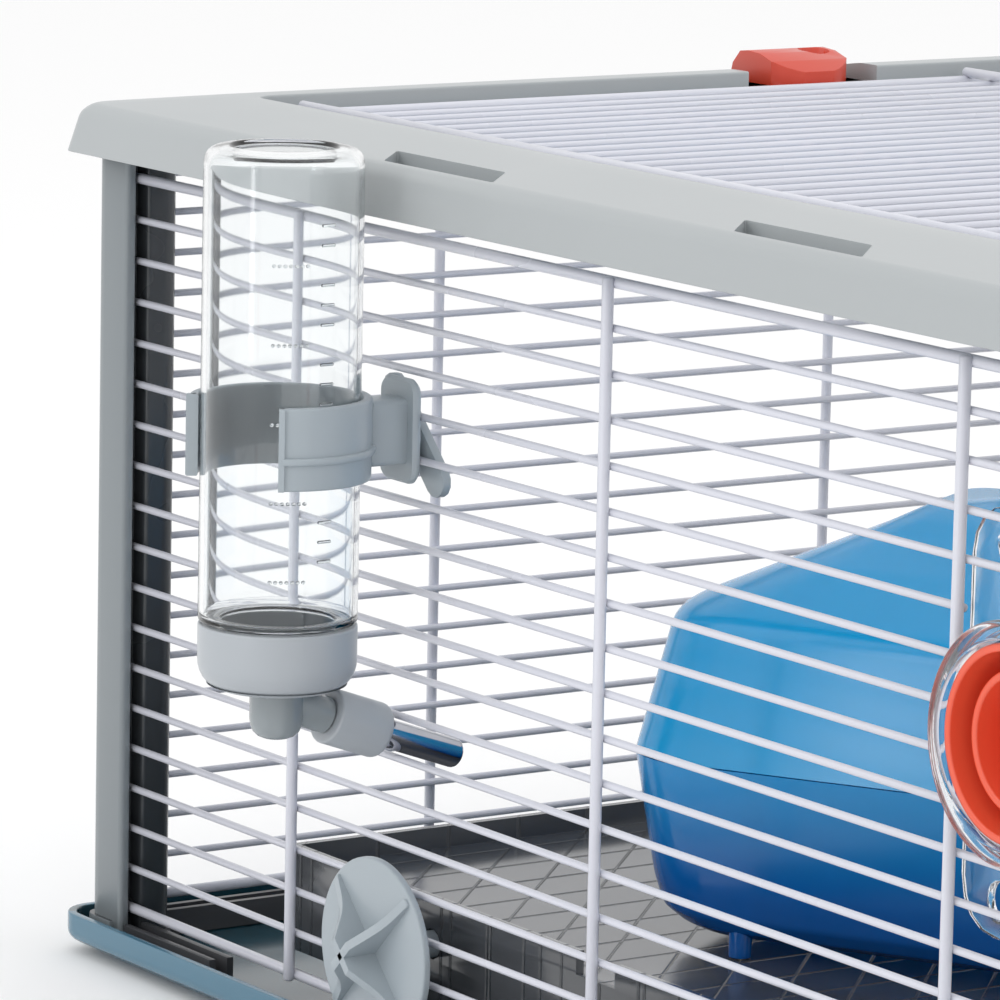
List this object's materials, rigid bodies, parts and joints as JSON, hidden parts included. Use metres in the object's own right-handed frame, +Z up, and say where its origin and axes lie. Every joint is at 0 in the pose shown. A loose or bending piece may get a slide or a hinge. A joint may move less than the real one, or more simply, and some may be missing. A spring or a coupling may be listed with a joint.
{
  "type": "hamster cage",
  "caption": "Wire pet cage on a litter tray, with a lift-up grille roof, a shelf, a small house, a clip-on drinker and a plugged tube port.",
  "frame": {"origin": "middle of the tray's underside, on the ground", "axes": "+X along the long side, from the drinker's end to the tube port's end; +Y from the front side, which holds the drinker and the port, to the back; +Z up"},
  "size_m": [0.5, 0.4237, 0.2445],
  "materials": {
    "tray_plastic": "steel-blue moulded plastic, glossy outside and darker inside",
    "foot_plastic": "dark grey moulded plastic",
    "post_plastic": "grey moulded plastic with a soft shine",
    "wire_coat": "pale grey powder coat with a lavender cast",
    "frame_plastic": "light grey moulded plastic, satin",
    "latch_red": "red moulded plastic, satin",
    "pin_steel": "plain steel",
    "shelf_plastic": "dark grey moulded plastic, glossy",
    "knob_plastic": "light blue-grey moulded plastic",
    "house_plastic": "translucent blue moulded plastic",
    "bottle_clear": "clear blown plastic, polished",
    "cap_plastic": "light grey moulded plastic",
    "elbow_plastic": "translucent grey moulded plastic",
    "spout_steel": "polished stainless steel",
    "port_clear": "clear moulded plastic",
    "port_red": "red-orange moulded plastic"
  },
  "bodies": {
    "cage": {"base_tray": "tray_plastic", "corner_foot_front_left": "foot_plastic", "corner_foot_front_right": "foot_plastic", "corner_foot_back_left": "foot_plastic", "corner_foot_back_right": "foot_plastic", "corner_post_front_left": "post_plastic", "corner_post_front_right": "post_plastic", "corner_post_back_left": "post_plastic", "corner_post_back_right": "post_plastic", "front_wires": "wire_coat", "back_wires": "wire_coat", "left_wires": "wire_coat", "right_wires": "wire_coat", "top_frame": "frame_plastic", "hinge_clip_front": "frame_plastic", "hinge_clip_back": "frame_plastic", "latch_pin": "pin_steel", "shelf": "shelf_plastic", "bottle_cap": "cap_plastic", "spout_elbow": "elbow_plastic", "spout_sleeve": "cap_plastic", "spout_tube": "spout_steel", "clamp_ring": "knob_plastic", "port_collar": "port_clear", "port_plate": "port_clear"},
    "roof": {"roof_grille": "wire_coat"},
    "latch": {"roof_latch": "latch_red"},
    "knob_front_left": {"shelf_knob_front_left": "knob_plastic"},
    "knob_front_right": {"shelf_knob_front_right": "knob_plastic"},
    "knob_back_left": {"shelf_knob_back_left": "knob_plastic"},
    "knob_back_right": {"shelf_knob_back_right": "knob_plastic"},
    "house": {"house_base": "house_plastic"},
    "house_lid": {"house_roof": "house_plastic"},
    "bottle": {"bottle": "bottle_clear"},
    "ball": {"spout_ball": "spout_steel"},
    "lock": {"clamp_lock": "knob_plastic"},
    "plug": {"port_plug": "port_red"}
  },
  "joints": [
    {"name": "roof_lift", "type": "hinge", "parent": "cage", "child": "roof", "pos_m": [0.213, 0, 0.235], "axis": [0, 1, 0], "range_deg": [0, 100]},
    {"name": "latch_turn", "type": "hinge", "parent": "cage", "child": "latch", "pos_m": [-0.2328, 0.045, 0.2353], "axis": [0, 0, 1], "range_deg": [0, 90]},
    {"name": "knob_turn_front_left", "type": "hinge", "parent": "cage", "child": "knob_front_left", "pos_m": [-0.094, -0.1755, 0.03155], "axis": [0, 1, 0], "range_deg": [0, 90]},
    {"name": "knob_turn_front_right", "type": "hinge", "parent": "cage", "child": "knob_front_right", "pos_m": [0.079, -0.1755, 0.03155], "axis": [0, 1, 0], "range_deg": [0, 90]},
    {"name": "knob_turn_back_left", "type": "hinge", "parent": "cage", "child": "knob_back_left", "pos_m": [-0.094, 0.1755, 0.03155], "axis": [0, 1, 0], "range_deg": [0, 90]},
    {"name": "knob_turn_back_right", "type": "hinge", "parent": "cage", "child": "knob_back_right", "pos_m": [0.079, 0.1755, 0.03155], "axis": [0, 1, 0], "range_deg": [0, 90]},
    {"name": "house_lift", "type": "slide", "parent": "cage", "child": "house", "axis": [0, 0, 1], "range_m": [0, 0.04]},
    {"name": "house_lid_lift", "type": "slide", "parent": "house", "child": "house_lid", "axis": [0, 0, 1], "range_m": [0, 0.02]},
    {"name": "bottle_unscrew", "type": "hinge", "parent": "cage", "child": "bottle", "pos_m": [-0.095, -0.2115, 0.121], "axis": [0, 0, 1], "range_deg": [0, 270]},
    {"name": "ball_push", "type": "slide", "parent": "cage", "child": "ball", "axis": [0, -0.9426, 0.3338], "range_m": [0, 0.001]},
    {"name": "clamp_turn", "type": "hinge", "parent": "cage", "child": "lock", "pos_m": [-0.091, -0.1755, 0.16715], "axis": [0, -1, 0], "range_deg": [0, 45]},
    {"name": "plug_pull", "type": "slide", "parent": "cage", "child": "plug", "axis": [0, -1, 0], "range_m": [0, 0.02]}
  ]
}
